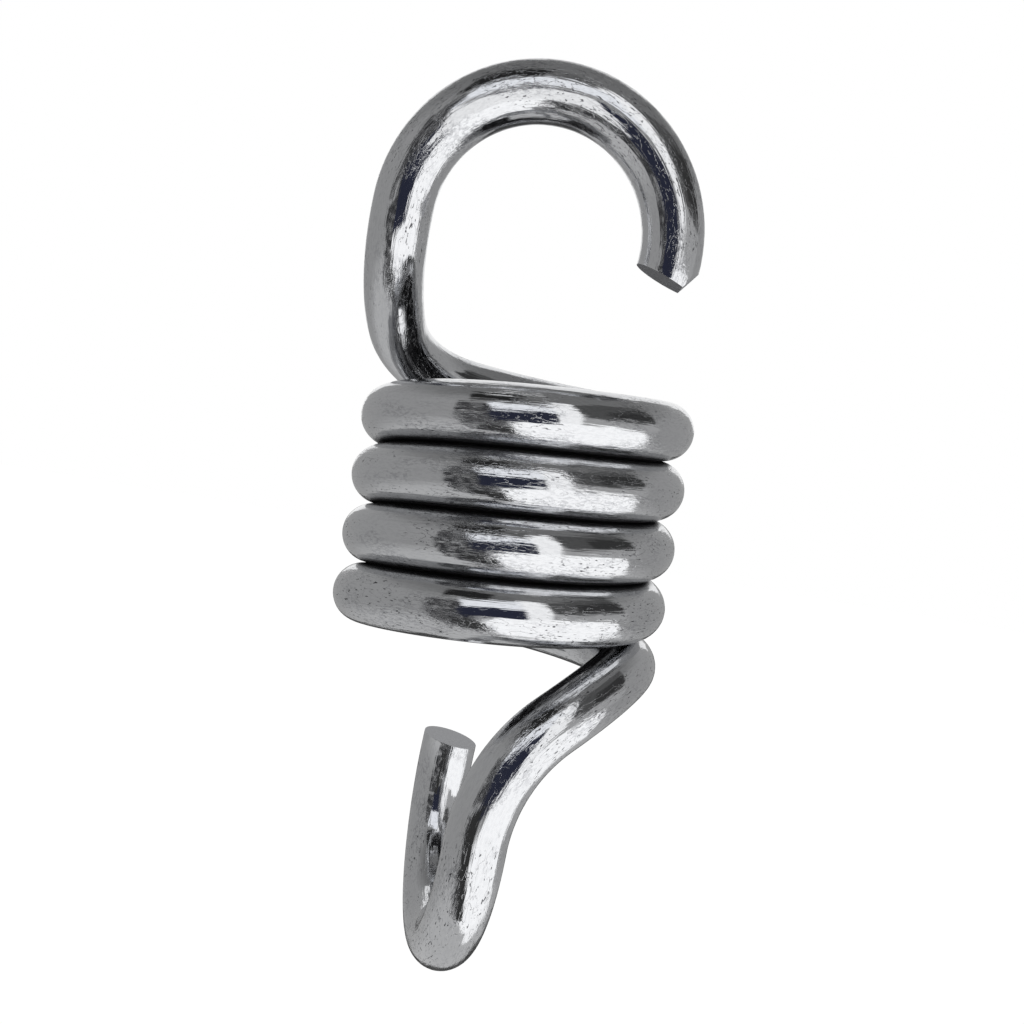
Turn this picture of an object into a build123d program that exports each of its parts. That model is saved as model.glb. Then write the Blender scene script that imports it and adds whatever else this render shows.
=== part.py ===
# Extension spring for hanging a hammock chair, bent from one length of round steel wire.
# A close-wound coil ends in an open round hook at the top and another at the bottom.
# Millimetres and degrees. +Z runs up along the coil's axis, and the upper hook's mouth
# faces +X. The origin is the seat of the upper hook, where it hangs on what holds it.

from build123d import *

import os
from math import cos, degrees, pi, radians, sin, sqrt, tan

# Wire
wire_diameter = 10.0

# Coil
coil_mean_diameter = 46.4
coil_turns = 4.37
turn_gap = 0.1

# Hooks, bent over the same former on both ends
hook_mean_diameter = 43.8

# Upper hook. Directions turn about the coil's axis, from +X towards +Y.
upper_leaving_angle = 124.9
upper_lean_angle = 10.7
upper_rise = 23.6  # from the end of the coil up to the hook's centre
upper_offset = -2.9  # the hook's centre from the coil's axis, towards its mouth
upper_round_start_angle = 174.8  # where the round begins, past the crown
upper_tip_angle = -9.1  # where the round ends, below the level of its centre

# Lower hook. Its sizes are taken with the spring stood on its head.
lower_facing_angle = 102.9
lower_lean_angle = 1.4
lower_rise = 27.7
lower_offset = -2.0
lower_round_start_angle = 178.6
lower_tip_angle = -18.5

# Ends of the wire. The shear leaves a sloped face that ends in a ridge. At the upper tip
# a steep facet falls away behind the ridge, and at the lower tip the face runs right across.
face_slope = 12.5
face_tilt = 8.5  # sideways, towards the front of the upper hook
back_facet_slope = 58.0
upper_ridge_from_centre = 2.9  # towards the outside of the hook
upper_ridge_height = 1.3  # past a square cut
lower_ridge_from_centre = 5.0  # towards the inside of the hook
lower_ridge_height = 0.9
shear_allowance = 5.0  # wire bent past the tip and then cut off
shear_overhang = 1.0  # the shear reaches past the wire on every side

FULL_CIRCLE = 360
HALF_TURN = Rotation(180, 0, 0)
INWARDS = 180.0  # ridge side towards the inside of the hook

wire_radius = wire_diameter / 2
coil_radius = coil_mean_diameter / 2
hook_radius = hook_mean_diameter / 2
pitch = wire_diameter + turn_gap
coil_height = pitch * coil_turns
lower_leaving_angle = upper_leaving_angle - FULL_CIRCLE * coil_turns


def hook_plane(lean, rise, offset, facing=0.0):
    """The plane that a hook is bent in: X towards the mouth, Y up, origin at the centre.

    It leans from a line across the coil's far end.
    """
    reach = (coil_height + rise) / cos(radians(lean))
    far_end = Rotation(0, 0, facing) * Pos(0, 0, -coil_height / 2)
    place = far_end * Rotation(lean, 0, 0) * Pos(offset, 0, reach)
    return Plane(place * Plane.XZ.location)


def tangent_bends(start, start_direction, end, end_direction):
    """Two arcs that carry the wire smoothly from one point and direction to another."""
    gap = end - start
    both = start_direction + end_direction
    spread = 2 * (1 - start_direction.dot(end_direction))
    along = gap.dot(both)
    handle = (sqrt(along**2 + spread * gap.dot(gap)) - along) / spread
    joint = (start + end + (start_direction - end_direction) * handle) / 2
    first = TangentArc(start, joint, tangent=start_direction)
    second = TangentArc(joint, end, tangent=first % 1)
    return [first, second]


def hooked_end(plane, leaves_coil_at, round_from, tip_angle):
    """The wire's centreline from the top of the coil to just past the tip of a hook."""
    angle = radians(leaves_coil_at)
    climb = pitch / (2 * pi)
    coil_end = Vector(coil_radius * cos(angle), coil_radius * sin(angle), coil_height / 2)
    winding = Vector(-coil_radius * sin(angle), coil_radius * cos(angle), climb).normalized()
    past_tip = degrees(shear_allowance / hook_radius)
    bent_angle = tip_angle - past_tip - round_from
    hook_round = plane * CenterArc((0, 0), hook_radius, round_from, bent_angle)
    bends = tangent_bends(coil_end, winding, hook_round @ 0, hook_round % 0)
    return bends + [hook_round]


def shear_waste(plane, tip_angle, ridge_from_centre, ridge_height, ridge_side=0.0):
    """What the shear takes off past the tip: a block notched to leave the two facets.

    The ridge side is turned about the wire, from the outside of the hook.
    """
    half_width = wire_radius + shear_overhang
    depth = 2 * shear_allowance
    face_fall = (ridge_from_centre + half_width) * tan(radians(face_slope))
    back_fall = (half_width - ridge_from_centre) * tan(radians(back_facet_slope))
    outline = Polyline(
        (-half_width, face_fall - ridge_height),
        (ridge_from_centre, -ridge_height),
        (half_width, back_fall - ridge_height),
        (half_width, -depth),
        (-half_width, -depth),
        close=True,
    )
    tip = plane.location * Rotation(0, 0, tip_angle) * Pos(hook_radius, 0, 0)
    shear = tip * Rotation(0, ridge_side, 0) * Rotation(-face_tilt, 0, 0)
    return shear * extrude(make_face(outline), amount=half_width, both=True)


def centreline(upper_plane, lower_plane):
    """The wire's whole path, from the lower tip through the coil to the upper tip."""
    upper_end = hooked_end(
        upper_plane, upper_leaving_angle, upper_round_start_angle, upper_tip_angle
    )
    lower_end = hooked_end(
        lower_plane, -lower_leaving_angle, lower_round_start_angle, lower_tip_angle
    )
    coil = Helix(pitch, coil_height, coil_radius, center=(0, 0, -coil_height / 2))
    coil = Rotation(0, 0, lower_leaving_angle) * coil
    return Wire([HALF_TURN * edge for edge in lower_end] + [coil] + upper_end)


def spring():
    """The whole spring, with the seat of the upper hook at the origin."""
    upper_plane = hook_plane(upper_lean_angle, upper_rise, upper_offset)
    lower_plane = hook_plane(lower_lean_angle, lower_rise, lower_offset, -lower_facing_angle)
    path = centreline(upper_plane, lower_plane)
    section = Plane(origin=path @ 0, z_dir=path % 0) * Circle(wire_radius)
    wire = sweep(section, path=path)
    upper_waste = shear_waste(
        upper_plane, upper_tip_angle, upper_ridge_from_centre, upper_ridge_height
    )
    lower_waste = shear_waste(
        lower_plane, lower_tip_angle, lower_ridge_from_centre, lower_ridge_height, INWARDS
    )
    wire -= [upper_waste, HALF_TURN * lower_waste]
    seat = upper_plane.from_local_coords(Vector(0, hook_radius - wire_radius, 0))
    return Pos(-seat) * wire


os.makedirs("parts", exist_ok=True)
export_step(spring(), "parts/spring_wire.step")
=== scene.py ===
# %% [markdown]
# # A hammock chair spring
# The object is one length of thick steel wire, wound into a tight coil and ended in two
# open hooks. A chair hangs from one hook, and the other hangs from a ceiling. This lesson
# dresses it: a smooth wire, bright zinc plating, and the cards and softboxes that polished
# metal needs around it before it looks like metal.
#
# The imported model comes first. It fixes where everything is.

# %% Load the frame
from math import atan2, ceil, cos, degrees, pi, radians, sin, sqrt, tan

import bmesh
import bpy
from mathutils import Matrix, Vector


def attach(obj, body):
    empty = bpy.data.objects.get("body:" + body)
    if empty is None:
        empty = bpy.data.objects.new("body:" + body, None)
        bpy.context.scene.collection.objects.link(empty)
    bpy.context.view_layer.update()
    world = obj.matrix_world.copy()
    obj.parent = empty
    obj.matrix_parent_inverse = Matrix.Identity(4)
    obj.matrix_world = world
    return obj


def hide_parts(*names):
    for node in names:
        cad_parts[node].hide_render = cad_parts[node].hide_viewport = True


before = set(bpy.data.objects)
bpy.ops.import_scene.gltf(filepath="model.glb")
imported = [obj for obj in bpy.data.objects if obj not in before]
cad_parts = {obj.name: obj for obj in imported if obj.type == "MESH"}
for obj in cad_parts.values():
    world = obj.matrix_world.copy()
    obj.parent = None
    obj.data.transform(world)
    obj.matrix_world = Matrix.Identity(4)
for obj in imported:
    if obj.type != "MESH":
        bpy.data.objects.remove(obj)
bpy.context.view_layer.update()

MM = 0.001
print("nodes:", list(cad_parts))

# %% [markdown]
# ## The sizes of the spring
# Wire is bought by its thickness, and everything else is set on the bending machine: how
# wide the coil is, how many turns it has, where the wire leaves it and how far each hook
# leans. The same numbers drive the solid model, so the two agree to a hair's breadth.
# Each hook has its own flat plane, which leans from a line across the coil's far end, and
# the hook's round lies in it.

# %% Sizes in millimetres and degrees
wire_radius = 5.0
coil_radius = 23.2
hook_radius = 21.9
pitch = 10.1
coil_turns = 4.37
coil_height = pitch * coil_turns
cut_allowance = 5.0  # wire bent past each tip, to be sheared off

# Where a hook faces, how far its plane leans, how far its centre is from the coil's end and
# from its axis, where the wire leaves the coil for it, and where its round starts and ends.
upper_hook = {"facing": 0.0, "lean": 10.7, "rise": 23.6, "offset": -2.9, "leaves": 124.9,
              "round_from": 174.8, "tip": -9.1}
lower_hook = {"facing": -102.9, "lean": 1.4, "rise": 27.7, "offset": -2.0,
              "leaves": 360 * coil_turns - 124.9, "round_from": 178.6, "tip": -18.5}


def hook_plane(hook):
    """Where a hook's flat plane is: X towards its mouth, Y up, the origin at its centre."""
    lean = radians(hook["lean"])
    reach = (coil_height + hook["rise"]) / cos(lean)
    turn = Matrix.Rotation(radians(hook["facing"]), 4, "Z")
    far_end = turn @ Matrix.Translation((0, 0, -coil_height / 2))
    upright = Matrix.Rotation(radians(90), 4, "X")
    leaning = Matrix.Rotation(lean, 4, "X") @ Matrix.Translation((hook["offset"], 0, reach))
    return far_end @ leaning @ upright


# The lower hook is worked out with the spring stood on its head, and is turned back later.
half_turn = Matrix.Rotation(pi, 4, "X")
upper_plane = hook_plane(upper_hook)
lower_plane = hook_plane(lower_hook)
seat = upper_plane @ Vector((0, hook_radius - wire_radius, 0))
print("seat of the upper hook, from the coil's middle:", [round(v, 2) for v in seat])

# %% [markdown]
# ## The bends
# Between the coil and each hook the wire takes two bends. Each bend is part of a circle,
# and the two meet without a kink, because each starts in the direction in which the one
# before it ends. A circular bend needs only a centre, an axis and an angle, which is what
# bmesh's spin asks for. So the whole wire is a chain of spins, made in the order in which
# a bender would make it, and no list of points has to be worked out.

# %% Work out each bend as a centre, an axis and an angle


def bend_between(start, direction, end):
    """The circular bend that leaves start along direction and arrives at end."""
    chord = end - start
    axis = direction.cross(chord).normalized()
    inward = axis.cross(direction)
    radius = chord.dot(chord) / (2 * chord.dot(inward))
    angle = 2 * atan2(chord.dot(inward), chord.dot(direction))
    return {"centre": start + inward * radius, "axis": axis, "angle": angle}


def coil_end(leaves):
    """The point where the wire leaves the top of the coil, and its direction there."""
    angle = radians(leaves)
    point = Vector((coil_radius * cos(angle), coil_radius * sin(angle), coil_height / 2))
    climb = pitch / (2 * pi)
    winding = Vector((-coil_radius * sin(angle), coil_radius * cos(angle), climb))
    return point, winding.normalized()


def hook_bends(hook, plane):
    """The two bends and the round that lead from the coil to just past a hook's tip."""
    start, leaving = coil_end(hook["leaves"])
    begin = radians(hook["round_from"])
    end = plane @ Vector((hook_radius * cos(begin), hook_radius * sin(begin), 0))
    arriving = plane.to_3x3() @ Vector((sin(begin), -cos(begin), 0))
    gap = end - start
    spread = 2 * (1 - leaving.dot(arriving))
    along = gap.dot(leaving + arriving)
    handle = (sqrt(along**2 + spread * gap.dot(gap)) - along) / spread
    joint = (start + end + (leaving - arriving) * handle) / 2
    first = bend_between(start, leaving, joint)
    turned = Matrix.Rotation(first["angle"], 3, first["axis"]) @ leaving
    second = bend_between(joint, turned, end)
    past_tip = cut_allowance / hook_radius
    hook_round = {
        "centre": plane.translation,
        "axis": plane.to_3x3() @ Vector((0, 0, -1)),
        "angle": begin - radians(hook["tip"]) + past_tip,
    }
    return [first, second, hook_round]


upper_bends = hook_bends(upper_hook, upper_plane)
lower_bends = hook_bends(lower_hook, lower_plane)
for name, bends in (("upper", upper_bends), ("lower", lower_bends)):
    print(name, "bends in degrees:", [round(degrees(b["angle"]), 1) for b in bends])

# %% [markdown]
# ## The wire
# A ring of vertices is the wire's round section. It starts where the wire leaves the top
# of the coil and is spun along the upper bends. A second ring starts at the same place and
# is spun down the coil with a small drop at each step, which makes the helix, and then
# along the lower bends.
#
# Each vertex also remembers where it was on the straight wire before it was bent: two
# numbers across the section and one along the length. Drawing marks and scratches run
# along the wire, so the plating's patterns are drawn on those numbers, and they follow
# every bend with no seam. A curve with a round section would be quicker to make, but its
# surface wouldn't remember the straight wire.

# %% A ring of wire, and how it is bent
ring_segments = 56
ring_spacing = 1.3  # millimetres between one ring and the next


def start_ring(bm, point, direction):
    """The round section of the wire, square to its direction."""
    straight = bm.verts.layers.float_vector["straight_wire"]
    made = bmesh.ops.create_circle(
        bm, cap_ends=False, segments=ring_segments, radius=wire_radius * MM,
    )["verts"]
    for vert in made:
        vert[straight] = vert.co / MM
    aim = direction.to_track_quat("Z", "Y").to_matrix().to_4x4()
    place = Matrix.Translation(point * MM) @ aim
    bmesh.ops.transform(bm, matrix=place, verts=made)
    return list(made) + list(dict.fromkeys(edge for vert in made for edge in vert.link_edges))


def bend_wire(bm, ring, bend, travelled, climb=0.0, side=1):
    """Spins the ring along one bend in short steps, and returns the ring at its end."""
    straight = bm.verts.layers.float_vector["straight_wire"]
    verts = [g for g in ring if isinstance(g, bmesh.types.BMVert)]
    middle = sum((v.co for v in verts), Vector()) / len(verts) / MM
    arm = middle - bend["centre"]
    arm -= bend["axis"] * arm.dot(bend["axis"])
    length = sqrt((arm.length * bend["angle"])**2 + climb**2)
    steps = ceil(length / ring_spacing)
    older = set(bm.verts)
    ring = bmesh.ops.spin(
        bm, geom=ring, cent=bend["centre"] * MM, axis=bend["axis"],
        dvec=bend["axis"] * (climb * MM / steps), angle=bend["angle"],
        steps=steps, use_merge=False, use_normal_flip=False, use_duplicate=False,
    )["geom_last"]
    # The new vertices come ring after ring, in the order of the steps.
    newer = [v for v in bm.verts if v not in older]
    for number, vert in enumerate(newer):
        step = number // ring_segments + 1
        vert[straight].z = side * (travelled + length * step / steps)
    return ring, travelled + length


print("a ring has", ring_segments, "points, and the next is at most", ring_spacing, "mm on")

# %% Bend the wire
wire = bmesh.new()
wire.verts.layers.float_vector.new("straight_wire")

start_point, start_direction = coil_end(upper_hook["leaves"])
ring = start_ring(wire, start_point, start_direction)
length_up = 0.0
for bend in upper_bends:
    ring, length_up = bend_wire(wire, ring, bend, length_up)

ring = start_ring(wire, start_point, start_direction)
coil_bend = {"centre": Vector(), "axis": Vector((0, 0, -1)), "angle": 2 * pi * coil_turns}
ring, length_down = bend_wire(wire, ring, coil_bend, 0.0, climb=coil_height, side=-1)
for bend in lower_bends:
    turned_back = {
        "centre": half_turn @ bend["centre"],
        "axis": half_turn.to_3x3() @ bend["axis"],
        "angle": bend["angle"],
    }
    ring, length_down = bend_wire(wire, ring, turned_back, length_down, side=-1)

# Both halves start at the same ring, which is merged into one.
same_place = 0.005
bmesh.ops.remove_doubles(wire, verts=wire.verts, dist=same_place * MM)
print("wire length in mm:", round(length_up + length_down, 1), "faces:", len(wire.faces))

# %% [markdown]
# ## The cut ends
# The wire was sheared off, not sawn. A shear leaves a flat face that slopes a little both
# ways, because the blades close at an angle. At the upper tip the last of the metal tore,
# which left a steep facet past a blunt ridge. Bisecting planes cut the wire's spare end
# away, and each opening is closed with one flat face. A boolean with a block would cut as
# well, but it leaves less tidy faces. A narrow bevel takes the knife edge off the rim, as
# handling does.

# %% Shear both tips
# Angles of the facets in degrees, and each cut's turn about the wire, with its ridge in
# millimetres: towards the outside of the hook, along the wire and across the hook.
face_tilt = 8.5
face_slope = 12.5
back_facet_slope = -58.0
upper_cut = {"turn": 0.0, "ridge": (2.9, -1.3, 0.0), "slopes": (face_slope, back_facet_slope)}
lower_cut = {"turn": 180.0, "ridge": (5.0, -0.9, 0.0), "slopes": (face_slope,)}
rim_bevel = 0.14
# Points on a rim that lie closer together than this are merged before the bevel.
rim_merge = 0.12


def shear_tip(bm, hook, plane, cut):
    """Cuts the wire off past a hook's tip, facet by facet, and closes the openings."""
    tip = plane @ Matrix.Rotation(radians(hook["tip"]), 4, "Z")
    tip = tip @ Matrix.Translation((hook_radius, 0, 0))
    turned = Matrix.Rotation(radians(cut["turn"]), 4, "Y")
    shear = tip @ turned @ Matrix.Rotation(-radians(face_tilt), 4, "X")
    ridge = shear @ Vector(cut["ridge"])
    facets = []
    for slope in cut["slopes"]:
        outward = shear.to_3x3() @ Vector((-sin(radians(slope)), -cos(radians(slope)), 0))
        near = [v for v in bm.verts if (v.co / MM - ridge).length < 3 * wire_radius]
        geom = near + list(dict.fromkeys(e for v in near for e in v.link_edges))
        geom += list(dict.fromkeys(f for v in near for f in v.link_faces))
        made = bmesh.ops.bisect_plane(
            bm, geom=geom, dist=1e-7, plane_co=ridge * MM, plane_no=outward,
            clear_outer=True, clear_inner=False,
        )["geom_cut"]
        rim = [g for g in made if isinstance(g, bmesh.types.BMEdge)]
        facets += bmesh.ops.contextual_create(bm, geom=rim)["faces"]
    return [f for f in facets if f.is_valid]


cut_faces = shear_tip(wire, upper_hook, upper_plane, upper_cut)
cut_faces += shear_tip(wire, lower_hook, half_turn @ lower_plane, lower_cut)
print("vertices round the cut faces:", [len(f.verts) for f in cut_faces])

# %% Soften the rims and finish the mesh
most_sides = 8  # the wire's own faces have at most this many sides, and the cut faces have more
rim_verts = list(dict.fromkeys(v for f in cut_faces for v in f.verts))
bmesh.ops.remove_doubles(wire, verts=rim_verts, dist=rim_merge * MM)
cut_faces = [f for f in wire.faces if len(f.verts) > most_sides]
rims = list(dict.fromkeys(e for f in cut_faces for e in f.edges))
bmesh.ops.bevel(
    wire, geom=rims, offset=rim_bevel * MM, offset_type="OFFSET", segments=2, profile=0.5,
    affect="EDGES", material=-1, clamp_overlap=True,
)
cut_faces = [f for f in wire.faces if len(f.verts) > most_sides]
bmesh.ops.translate(wire, verts=wire.verts, vec=-seat * MM)
bmesh.ops.recalc_face_normals(wire, faces=wire.faces)
for face in wire.faces:
    face.smooth = len(face.verts) <= most_sides
    face.material_index = int(not face.smooth)
open_edges = [e for e in wire.edges if not e.is_manifold]
print("faces:", len(wire.faces), "cut faces:", len(cut_faces), "open edges:", len(open_edges))

wire_mesh = bpy.data.meshes.new("spring_wire_visual")
wire.to_mesh(wire_mesh)
wire.free()
spring_wire = bpy.data.objects.new("spring_wire_visual", wire_mesh)
bpy.context.scene.collection.objects.link(spring_wire)
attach(spring_wire, "root")
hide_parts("spring_wire")

# %% [markdown]
# ## Painted shade in the seams
# Between two turns of the close-wound coil the seam is dark, and that dark is painted shade:
# a thin, nearly black, diamond-shaped bead, spun down the coil half a pitch below the
# wire, which shuts the gap. Dark paint in the wire's material alone would not do, because
# light would still pass through the tenth of a millimetre between two turns.

# %% Run the dark bead of painted shade down between the turns
# A nearly black bead: painted shade that shuts the gaps between the turns.
bead_radius = 0.3
gap_bead = bmesh.new()
bead = bmesh.ops.create_circle(gap_bead, cap_ends=True, segments=4, radius=bead_radius * MM)["verts"]
aim = start_direction.to_track_quat("Z", "Y").to_matrix().to_4x4()
bead_start = (start_point - Vector((0, 0, pitch / 2))) * MM
bmesh.ops.transform(gap_bead, matrix=Matrix.Translation(bead_start) @ aim, verts=bead)
bead_steps = 400
bead_turns = coil_turns - 1
bmesh.ops.spin(
    gap_bead, geom=gap_bead.verts[:] + gap_bead.edges[:] + gap_bead.faces[:], cent=(0, 0, 0),
    axis=(0, 0, -1), dvec=(0, 0, -pitch * bead_turns * MM / bead_steps),
    angle=2 * pi * bead_turns, steps=bead_steps,
    use_merge=False, use_normal_flip=False, use_duplicate=False,
)
bmesh.ops.translate(gap_bead, verts=gap_bead.verts, vec=-seat * MM)
bmesh.ops.recalc_face_normals(gap_bead, faces=gap_bead.faces)
gap_bead_open = [e for e in gap_bead.edges if not e.is_manifold]
print("grease faces:", len(gap_bead.faces), "open edges:", len(gap_bead_open))
gap_bead_mesh = bpy.data.meshes.new("gap_shade_bead")
gap_bead.to_mesh(gap_bead_mesh)
gap_bead.free()
gap_shade_bead = bpy.data.objects.new("gap_shade_bead", gap_bead_mesh)
bpy.context.scene.collection.objects.link(gap_shade_bead)
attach(gap_shade_bead, "root")

# %% [markdown]
# ## Colours and helpers for materials
# A colour is written as the hex value that a picture editor shows, and one function turns
# it into the linear light that the shader works with. A second function adds a node with
# its settings and its links, so that a material reads from top to bottom, and a third
# starts an empty material.

# %% Three helpers


def linear(hex_colour):
    """An sRGB hex colour as linear red, green, blue and alpha."""
    parts = [int(hex_colour[i:i + 2], 16) / 255 for i in (1, 3, 5)]
    light = [c / 12.92 if c <= 0.04045 else ((c + 0.055) / 1.055)**2.4 for c in parts]
    return (*light, 1.0)


def add_node(tree, kind, inputs=None, **settings):
    """Adds one node. An input is a value, a socket, or a node that gives its first output."""
    node = tree.nodes.new(kind)
    for name, value in settings.items():
        setattr(node, name, value)
    for name, value in (inputs or {}).items():
        if isinstance(value, bpy.types.Node):
            value = next(socket for socket in value.outputs if socket.enabled)
        if isinstance(value, bpy.types.NodeSocket):
            tree.links.new(value, node.inputs[name])
        else:
            node.inputs[name].default_value = value
    return node


def new_material(name):
    """An empty node material and the tree to fill."""
    material = bpy.data.materials.new(name)
    material.use_nodes = True
    material.node_tree.nodes.clear()
    return material, material.node_tree


print("middle grey #808080 as linear light:", [round(c, 3) for c in linear("#808080")])

# %% [markdown]
# ## Zinc-plated spring steel
# The wire is drawn cold through a die, which leaves fine lines along its length. It is
# then bent, and plated with bright zinc a few thousandths of a millimetre thick. The
# plating mirrors its surroundings, but the lines under it break up every reflection edge
# into long streaks. Handling adds small pits, hair-thin scratches and dull, grainy patches,
# and painted shade darkens the seams where two turns touch.
#
# An image of scratched metal would need the wire unwrapped, and would blur close by. Noise
# drawn on the straight wire's own millimetres needs neither, so each pattern is a noise
# with a size across the wire and a size along it. The lines are about 0.34 mm wide, coarser
# than real ones so that they show at this distance.

# %% Patterns on the straight wire, with their sizes in millimetres
plating, tree = new_material("zinc-plated steel")
straight = add_node(tree, "ShaderNodeAttribute", attribute_name="straight_wire").outputs["Vector"]

# Each pattern's size across the wire, its size along the wire, and how finely it breaks up.
patterns = {
    "worn": (7.0, 16.0, 2.0),
    "grainy": (5.0, 11.0, 3.0),
    "waves": (3.0, 6.0, 1.0),
    "long lines": (0.9, 18.0, 2.0),
    "lines": (0.34, 9.0, 3.0),
    "grain": (0.30, 0.75, 3.0),
    "pits": (0.28, 0.85, 2.0),
    "scratches": (1.6, 5.0, 2.5),
    "hairs": (1.1, 1.9, 2.0),
}
noise = {}
for name, (across, along, detail) in patterns.items():
    place = add_node(tree, "ShaderNodeVectorMath", {
        0: straight, 1: (1 / across, 1 / across, 1 / along)}, operation="MULTIPLY")
    noise[name] = add_node(tree, "ShaderNodeTexNoise", {
        "Vector": place, "Scale": 1.0, "Detail": detail})
print("patterns on the wire:", ", ".join(noise))

# %% [markdown]
# ## Where the marks are
# Wear isn't even: it comes in patches, where the wire was held or dragged. Pits are the
# highest spots of their noise. Scratches and hair lines run where their noise crosses its
# middle value, which draws thin curved lines. All of them show inside their patches only.
# Marks painted evenly all over would look like a printed pattern.

# %% Pits, scratches and hair lines
# From the first value a pattern begins to show, and at the second it shows in full.
limits = {"worn": (0.43, 0.56), "grainy": (0.48, 0.62), "pits": (0.62, 0.70),
          "grain": (0.42, 0.64)}
shows = {}
for name, (begins, full) in limits.items():
    shows[name] = add_node(tree, "ShaderNodeMapRange", {
        "Value": noise[name], "From Min": begins, "From Max": full},
        interpolation_type="SMOOTHSTEP")

noise_middle = 0.5
line_widths = {"scratches": 0.008, "hairs": 0.006}
for name, width in line_widths.items():
    off_middle = add_node(tree, "ShaderNodeMath", {
        0: noise[name], 1: noise_middle}, operation="SUBTRACT")
    distance = add_node(tree, "ShaderNodeMath", {0: off_middle}, operation="ABSOLUTE")
    shows[name] = add_node(tree, "ShaderNodeMapRange", {
        "Value": distance, "From Min": width, "From Max": 0.0},
        interpolation_type="SMOOTHSTEP")
print("patterns with a limit:", ", ".join(shows))

# %% Keep each mark inside its patches
in_patches = {}
for name, pattern, patch in (
    ("pits", shows["pits"], "worn"),
    ("scratches", shows["scratches"], "worn"),
    ("hairs", shows["hairs"], "grainy"),
    ("grain", noise["grain"], "grainy"),
):
    in_patches[name] = add_node(tree, "ShaderNodeMath", {
        0: pattern, 1: shows[patch]}, operation="MULTIPLY")

line_darkness = 0.45  # scratches and hair lines are fainter than pits
all_lines = add_node(tree, "ShaderNodeMath", {
    0: in_patches["scratches"], 1: in_patches["hairs"]}, operation="MAXIMUM")
faint_lines = add_node(tree, "ShaderNodeMath", {
    0: all_lines, 1: line_darkness}, operation="MULTIPLY")
marks = add_node(tree, "ShaderNodeMath", {
    0: in_patches["pits"], 1: faint_lines}, operation="MAXIMUM")
print("patterns that show in patches:", ", ".join(in_patches))

# %% [markdown]
# ## Relief
# On the real wire the lines and waves are in the steel, and the zinc follows them. They are
# far finer than the mesh, and a mesh that held them would have millions of faces. So bump
# nodes tilt the surface instead: one on top of the other, from the broad waves to the small
# marks, each with its height in millimetres.

# %% Stack the relief
relief = (
    (noise["waves"], 0.12),
    (noise["long lines"], 0.045),
    (noise["lines"], 0.03),
    (in_patches["grain"], 0.04),
    (marks, -0.02),  # below the surface
)
surface = {}
for height, millimetres in relief:
    bump = add_node(tree, "ShaderNodeBump", {
        "Height": height, "Strength": 1.0, "Distance": abs(millimetres) * MM, **surface},
        invert=millimetres < 0)
    surface = {"Normal": bump}
print("heights in mm:", [millimetres for height, millimetres in relief])

# %% [markdown]
# ## Painted shade between the turns
# Where two turns touch, and on the inside of the tight coil, the plating is painted darker
# and made duller. This is painted shade, for the shade that falls between the turns and
# inside the coil. The wire's own millimetres say where that is: the direction across the
# section tells the sides that face up, down or inwards, and the length tells the stretch of
# wire that has a neighbour on that side. It is painted in the material, not made as a shape.

# %% Find the sides that get painted shade
turn_length = sqrt((2 * pi * coil_radius)**2 + pitch**2)
coil_length = turn_length * coil_turns

# Which way the coil's axis and its outside lie in the section that the wire starts from.
to_section = start_direction.to_track_quat("Z", "Y").to_matrix().transposed()
axis_in_section = to_section @ Vector((0, 0, 1))
outside_in_section = to_section @ Vector((start_point.x, start_point.y, 0)).normalized()
facing = {}
for name, way in (("up", axis_in_section), ("out", outside_in_section)):
    facing[name] = add_node(tree, "ShaderNodeVectorMath", {
        0: straight, 1: (way.x / wire_radius, way.y / wire_radius, 0)},
        operation="DOT_PRODUCT")
length = add_node(tree, "ShaderNodeSeparateXYZ", {"Vector": straight}).outputs["Z"]

# Which way the side faces, where it is still lit, where its painted shade is full, and the
# stretch of wire, from below to above, with the millimetres over which the painted shade
# fades at its ends.
shaded_sides = (
    ("up", 0.84, 0.99, -coil_length, -turn_length, 12.0),
    ("up", -0.84, -0.99, turn_length - coil_length, 0.0, 12.0),
    ("out", 0.0, -0.5, turn_length / 2 - coil_length, -turn_length / 2, 70.0),
)
# Painted shade: it darkens and dulls the seams and the inside of the coil.
seam_shade = 0.0
for way, lit_at, shaded_at, bottom, top, fade in shaded_sides:
    here = add_node(tree, "ShaderNodeMapRange", {
        "Value": facing[way], "From Min": lit_at, "From Max": shaded_at},
        interpolation_type="SMOOTHSTEP")
    for end, inner in ((bottom, bottom + fade), (top, top - fade)):
        inside = add_node(tree, "ShaderNodeMapRange", {
            "Value": length, "From Min": end, "From Max": inner},
            interpolation_type="SMOOTHSTEP")
        here = add_node(tree, "ShaderNodeMath", {0: here, 1: inside}, operation="MULTIPLY")
    seam_shade = add_node(tree, "ShaderNodeMath", {0: seam_shade, 1: here}, operation="MAXIMUM")
print("one turn in mm:", round(turn_length, 1), "whole coil in mm:", round(coil_length, 1))

# %% [markdown]
# ## Colour and shine of the plating
# Bright zinc is a pale, nearly neutral grey metal, and as sharp as a mirror where nobody
# has touched it. Fine flecks darken the grainy patches, marks are dark and dull, and
# painted shade makes the seams the darkest and dullest. Each layer is mixed over the one
# before it. A separate shader for each layer would look the same and render more slowly.

# %% Mix the colour and the roughness
grain_share = add_node(tree, "ShaderNodeMapRange", {
    "Value": shows["grainy"], "To Min": 0.3, "To Max": 1.0}, interpolation_type="SMOOTHSTEP")
flecks = add_node(tree, "ShaderNodeMath", {
    0: shows["grain"], 1: grain_share}, operation="MULTIPLY")

colour = linear("#D4D5D7")
# 444446 is painted shade in the seams and inside the coil. The other two colours are the plating's
# own flecks and marks.
for share, hex_colour in ((flecks, "#BEBFC2"), (marks, "#58585C"), (seam_shade, "#444446")):
    colour = add_node(tree, "ShaderNodeMix", {
        "Factor": share, "A": colour, "B": linear(hex_colour)}, data_type="RGBA")

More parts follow.
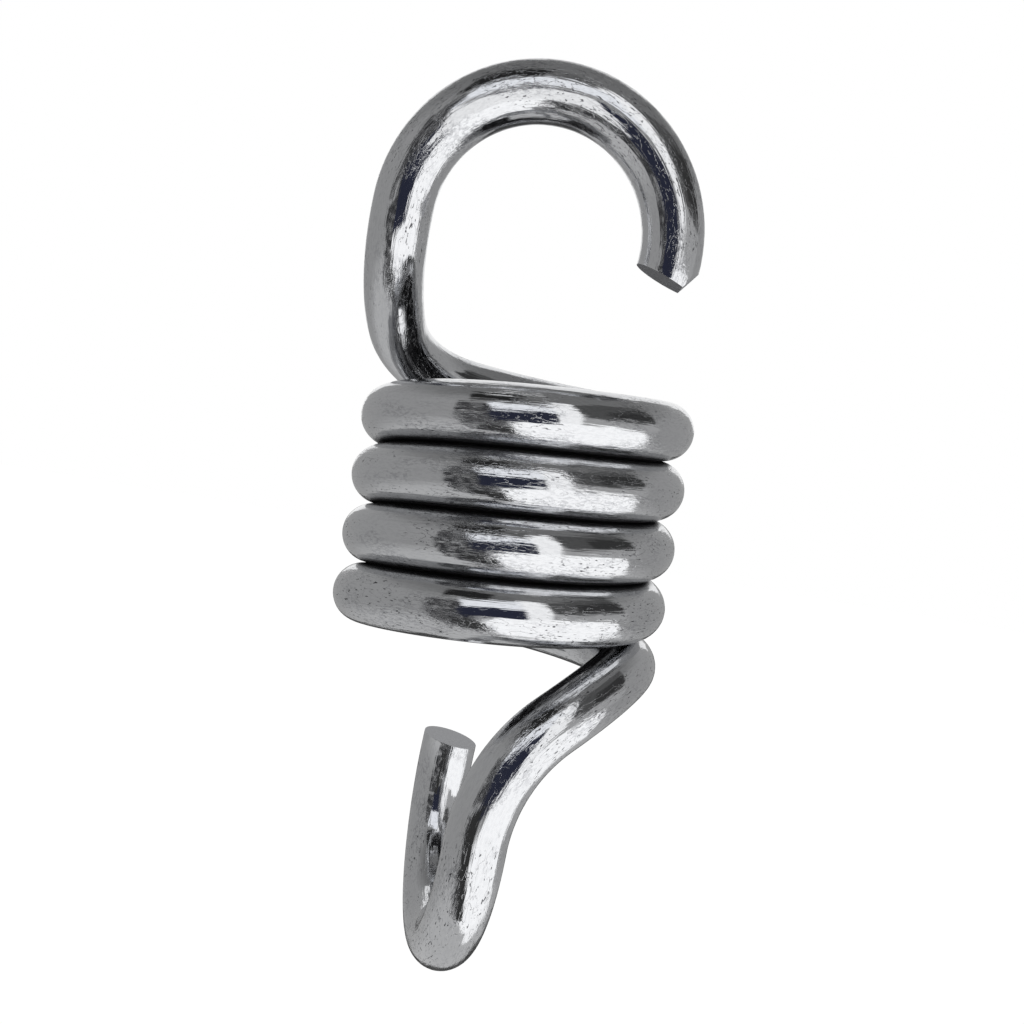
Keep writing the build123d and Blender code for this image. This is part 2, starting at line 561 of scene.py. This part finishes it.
roughness = add_node(tree, "ShaderNodeMapRange", {
    "Value": shows["grainy"], "To Min": 0.07, "To Max": 0.12}, interpolation_type="SMOOTHSTEP")
for share, rougher in ((marks, 0.25), (seam_shade, 0.35)):
    more = add_node(tree, "ShaderNodeMath", {0: share, 1: rougher}, operation="MULTIPLY")
    roughness = add_node(tree, "ShaderNodeMath", {0: roughness, 1: more}, operation="ADD")

zinc = add_node(tree, "ShaderNodeBsdfPrincipled", {
    "Base Color": colour, "Metallic": 1.0, "Roughness": roughness, **surface})
add_node(tree, "ShaderNodeOutputMaterial", {"Surface": zinc})
wire_mesh.materials.append(plating)
print("nodes in the plating:", len(tree.nodes))

# %% [markdown]
# ## The bare cuts and the dark bead
# The cut faces were sheared after plating, so they are bare steel: dull grey, with fine
# drag marks that the blade left. The bead between the turns is painted shade, nearly
# black, with a dull shine. Both are small, so one noise is enough for the cuts, and the
# bead, of which only a hair's breadth shows, needs none.

# %% Sheared steel and the nearly black bead of painted shade
cut_steel, tree = new_material("sheared steel")
drag_across, drag_along = 0.4, 2.0  # millimetres between drag marks, and how long they are
place = add_node(tree, "ShaderNodeTexCoord").outputs["Object"]
size = add_node(tree, "ShaderNodeVectorMath", {
    0: place, 1: (1 / (drag_across * MM), 1 / (drag_along * MM), 1 / (drag_across * MM))},
    operation="MULTIPLY")
drag = add_node(tree, "ShaderNodeTexNoise", {"Vector": size, "Scale": 1.0, "Detail": 3.0})
drag_height = 0.03
bump = add_node(tree, "ShaderNodeBump", {
    "Height": drag, "Strength": 1.0, "Distance": drag_height * MM})
shader = add_node(tree, "ShaderNodeBsdfPrincipled", {
    "Base Color": linear("#9C9DA0"), "Metallic": 1.0, "Roughness": 0.5, "Normal": bump})
add_node(tree, "ShaderNodeOutputMaterial", {"Surface": shader})
wire_mesh.materials.append(cut_steel)

dark_bead_material, tree = new_material("painted shade bead")
# Nearly black: painted shade in the gaps between the turns.
shader = add_node(tree, "ShaderNodeBsdfPrincipled", {
    "Base Color": linear("#1C1B1A"), "Roughness": 0.7})
add_node(tree, "ShaderNodeOutputMaterial", {"Surface": shader})
gap_bead_mesh.materials.append(dark_bead_material)
print("materials:", [m.name for m in wire_mesh.materials], dark_bead_material.name)

# %% [markdown]
# ## The camera
# The view is from close by, about 21 cm, level with the coil and almost square to the
# upper hook, with the camera rolled so that the spring leans. So close a view makes the
# near hook's wire visibly thicker than the far one's. A far camera with a long lens would
# show both alike, so the distance and the lens are given together.

# %% Camera
# Angles in radians, and places in millimetres: the point that the camera turns about, and
# where that point is as the camera sees it.
view_turn = radians(3.0)
view_roll = -0.1606
view_pitch = 0.0221
view_centre = Vector((2.9, 15.937, -62.649))
view_offset = Vector((-0.0088, -1.2135, -213.0))
focal_in_pixels = 1241.89
picture_width = 1024

level = Matrix(((1, 0, 0), (0, 0, 1), (0, -1, 0)))
to_camera = (Matrix.Rotation(view_roll, 3, "Z") @ Matrix.Rotation(view_pitch, 3, "X")
             @ level @ Matrix.Rotation(-view_turn, 3, "Z"))
from_camera = to_camera.transposed()
camera_place = (view_centre - from_camera @ view_offset) * MM

camera_data = bpy.data.cameras.new("camera")
camera_data.sensor_width = 36.0
camera_data.lens = camera_data.sensor_width * focal_in_pixels / picture_width
camera_data.clip_start = 0.01
camera = bpy.data.objects.new("camera", camera_data)
camera.matrix_world = Matrix.Translation(camera_place) @ from_camera.to_4x4()
bpy.context.scene.collection.objects.link(camera)
bpy.context.scene.camera = camera
print("camera at", [round(v, 3) for v in camera_place], "lens", round(camera_data.lens, 1), "mm")

# %% [markdown]
# ## What the metal mirrors
# Polished metal has no look of its own: it shows what stands around it. A studio puts grey
# cards, black flags and softboxes round it for that reason. Lamps alone would leave it
# nearly black with a few bright dots. Each card here is a plane that faces the spring. Its
# place is given as seen from the spring, in degrees right of the camera and above it, and
# as a distance. Only the metal sees them: the camera looks past all of them.

# %% What a card is made of
blotch_size = 50.0  # millimetres


def glowing(name, hex_colour, strength):
    """A plain card that gives off its own even light."""
    material, tree = new_material(name)
    light = add_node(tree, "ShaderNodeEmission", {
        "Color": linear(hex_colour), "Strength": strength})
    add_node(tree, "ShaderNodeOutputMaterial", {"Surface": light})
    return material


def mottled(name, dark, pale):
    """A dark card with pale blotches, for a mirror image with ragged edges."""
    material, tree = new_material(name)
    place = add_node(tree, "ShaderNodeTexCoord").outputs["Object"]
    blotch = add_node(tree, "ShaderNodeTexNoise", {
        "Vector": place, "Scale": 1 / (blotch_size * MM), "Detail": 3.0})
    share = add_node(tree, "ShaderNodeMapRange", {
        "Value": blotch, "From Min": 0.53, "From Max": 0.62})
    colour = add_node(tree, "ShaderNodeMix", {
        "Factor": share, "A": linear(dark), "B": linear(pale)}, data_type="RGBA")
    light = add_node(tree, "ShaderNodeEmission", {"Color": colour})
    add_node(tree, "ShaderNodeOutputMaterial", {"Surface": light})
    return material


print("blotches on a mottled card:", blotch_size, "mm")

# %% How a card is placed
spring_middle = Vector((0.0029, 0.0159, -0.0623))


def stage_piece(name, bm, material):
    """Turns a bmesh into a piece of the studio that only the metal sees."""
    mesh = bpy.data.meshes.new(name)
    bm.to_mesh(mesh)
    bm.free()
    mesh.materials.append(material)
    piece = bpy.data.objects.new(name, mesh)
    bpy.context.scene.collection.objects.link(piece)
    piece.visible_camera = False
    piece.visible_shadow = False
    piece.visible_diffuse = False
    return piece


def towards(azimuth, elevation):
    """A direction from the spring, in degrees right of the camera and above it."""
    a, e = radians(azimuth), radians(elevation)
    return from_camera @ Vector((sin(a) * cos(e), sin(e), cos(a) * cos(e)))


def flat_card(name, middle, out, half_width, half_height, material):
    """A flat card square to the direction out, as wide and high as given."""
    across = out.cross(from_camera @ Vector((0, 1, 0))).normalized()
    turned = Matrix((across, across.cross(out), out)).transposed().to_4x4()
    sized = Matrix.Diagonal((half_width, half_height, 1, 1))
    bm = bmesh.new()
    bmesh.ops.create_grid(bm, x_segments=1, y_segments=1, size=1.0)
    bmesh.ops.transform(bm, matrix=Matrix.Translation(middle) @ turned @ sized, verts=bm.verts)
    return stage_piece(name, bm, material)


def card(name, azimuths, elevations, distance, material):
    """A flat card that spans the given angles, seen from the spring's middle."""
    azimuth, elevation = sum(azimuths) / 2, sum(elevations) / 2
    out = towards(azimuth, elevation)
    wide, high = radians(azimuths[1] - azimuths[0]), radians(elevations[1] - elevations[0])
    half_width = distance * tan(wide / 2) * cos(radians(elevation))
    half_height = distance * tan(high / 2)
    middle = spring_middle + out * distance
    return flat_card(name, middle, out, half_width, half_height, material)


print("cards are placed from", [round(v / MM, 1) for v in spring_middle], "mm")

# %% [markdown]
# ## The tent and its cards
# A tent of grey cloth stands round everything, paler towards the ground and darker towards
# its top. Inside it, white softboxes light the front of the metal, and grey and black flags
# cut dark shapes into them. One small card hangs close before the upper hook's crown, and
# one narrow flag stands close to the left of the coil, because a near card shows in one
# part of the metal and not in the next. A picture of a room on the world would light the
# metal too, but each card can be moved by itself until its reflection is right.

# %% The tent
tent_material, tree = new_material("grey tent")
place = add_node(tree, "ShaderNodeTexCoord").outputs["Object"]
height = add_node(tree, "ShaderNodeSeparateXYZ", {"Vector": place}).outputs["Z"]
colour = linear("#A4A4A4")
# The heights in metres between which the cloth changes, and the colour that it changes to.
for begins, full, hex_colour in ((-0.3, -0.75, "#C8C8C8"), (0.3, 0.75, "#7C7C7C")):
    share = add_node(tree, "ShaderNodeMapRange", {
        "Value": height, "From Min": begins, "From Max": full},
        interpolation_type="SMOOTHSTEP")
    colour = add_node(tree, "ShaderNodeMix", {
        "Factor": share, "A": colour, "B": linear(hex_colour)}, data_type="RGBA")
light = add_node(tree, "ShaderNodeEmission", {"Color": colour})
add_node(tree, "ShaderNodeOutputMaterial", {"Surface": light})

tent_radius = 0.9
tent = bmesh.new()
bmesh.ops.create_icosphere(tent, subdivisions=4, radius=tent_radius)
bmesh.ops.translate(tent, verts=tent.verts, vec=spring_middle)
stage_piece("grey_tent", tent, tent_material)
print("tent of", tent_radius, "m round the spring")

# %% The cards
# Name, degrees to the right from and to, degrees up from and to, metres away, colour, light.
plain_cards = (
    ("softbox_low", (-14, 98), (-82, -14), 0.60, "#FFFFFF", 1.38),
    ("softbox_low_side", (98, 125), (-80, -42), 0.60, "#FFFFFF", 1.3),
    ("softbox_strip", (18, 37), (-14, 45), 0.60, "#FFFFFF", 1.25),
    ("softbox_high", (-24, 20), (14, 40), 0.60, "#F6F8FC", 1.2),
    ("grey_band", (37, 97), (-14, 6), 0.60, "#B4B4B4", 1.0),
    ("flag_high_left", (-46, 0), (43, 68), 0.56, "#2A2A2A", 1.0),
    ("flag_top", (0, 20), (42, 56), 0.58, "#686868", 1.0),
    ("flag_right", (37, 97), (6, 47), 0.58, "#585858", 1.0),
    ("flag_right_dark", (58, 96), (12, 34), 0.56, "#3C3C3C", 1.0),
    ("lens_shade", (-24, 18), (-16, 15), 0.22, "#2D3040", 1.0),
    ("softbox_behind", (150, 205), (5, 55), 0.60, "#FFFFFF", 1.0),
    ("flag_behind", (160, 200), (-50, -5), 0.60, "#484848", 1.0),
)
for name, azimuths, elevations, distance, hex_colour, strength in plain_cards:
    card(name, azimuths, elevations, distance, glowing(name, hex_colour, strength))
card("flag_left", (-50, -17), (-58, 34), 0.56, mottled("flag_left", "#3A3A3C", "#B8B8B8"))

# Name, metres right of the spring's middle, above it and towards the camera, half the
# width, half the height, colour, light.
near_cards = (
    ("crown_card", (-0.001, 0.058, 0.036), 0.013, 0.006, "#FFFFFF", 1.15),
    ("flag_low_left", (-0.030, -0.110, 0.070), 0.015, 0.070, "#383838", 1.0),
)
for name, offset, half_width, half_height, hex_colour, strength in near_cards:
    middle = spring_middle + from_camera @ Vector(offset)
    shine = glowing(name, hex_colour, strength)
    flat_card(name, middle, towards(0, 0), half_width, half_height, shine)
print("cards:", len(plain_cards) + 1 + len(near_cards))

# %% [markdown]
# ## Floor, background and light
# The floor lies well below the hanging spring, outside the tent. It is pale paint lit by a
# white room. A stronger lamp could make it white, but it would also bleach the metal. So a
# touch of the floor's own light lifts it to plain white, for the camera and for whatever
# mirrors it, while a shadow would still show on it.

# %% Floor and world
floor_half_size = 20.0
floor_level = -1.1
floor_lift = 0.12
floor = bmesh.new()
bmesh.ops.create_grid(floor, x_segments=1, y_segments=1, size=floor_half_size)
bmesh.ops.translate(floor, verts=floor.verts, vec=(0, 0, floor_level))
floor_material, tree = new_material("white floor")
rays = add_node(tree, "ShaderNodeLightPath").outputs
seen = rays["Is Camera Ray"]
for kind in ("Is Glossy Ray", "Is Transmission Ray"):
    seen = add_node(tree, "ShaderNodeMath", {0: seen, 1: rays[kind]}, operation="MAXIMUM")
paint = add_node(tree, "ShaderNodeBsdfDiffuse", {"Color": linear("#F4F4F4")})
own_light = add_node(tree, "ShaderNodeMath", {0: seen, 1: floor_lift}, operation="MULTIPLY")
lift = add_node(tree, "ShaderNodeEmission", {"Strength": own_light})
both = add_node(tree, "ShaderNodeAddShader", {0: paint, 1: lift})
add_node(tree, "ShaderNodeOutputMaterial", {"Surface": both})
floor_mesh = bpy.data.meshes.new("floor")
floor.to_mesh(floor_mesh)
floor.free()
floor_mesh.materials.append(floor_material)
floor_piece = bpy.data.objects.new("floor", floor_mesh)
bpy.context.scene.collection.objects.link(floor_piece)

world = bpy.data.worlds.new("white room")
bpy.context.scene.world = world
world.use_nodes = True
background = world.node_tree.nodes["Background"]
background.inputs["Color"].default_value = linear("#FFFFFF")
background.inputs["Strength"].default_value = 1.0
bpy.context.scene.view_settings.view_transform = "Standard"
print("floor at", floor_level, "m, white room all round")
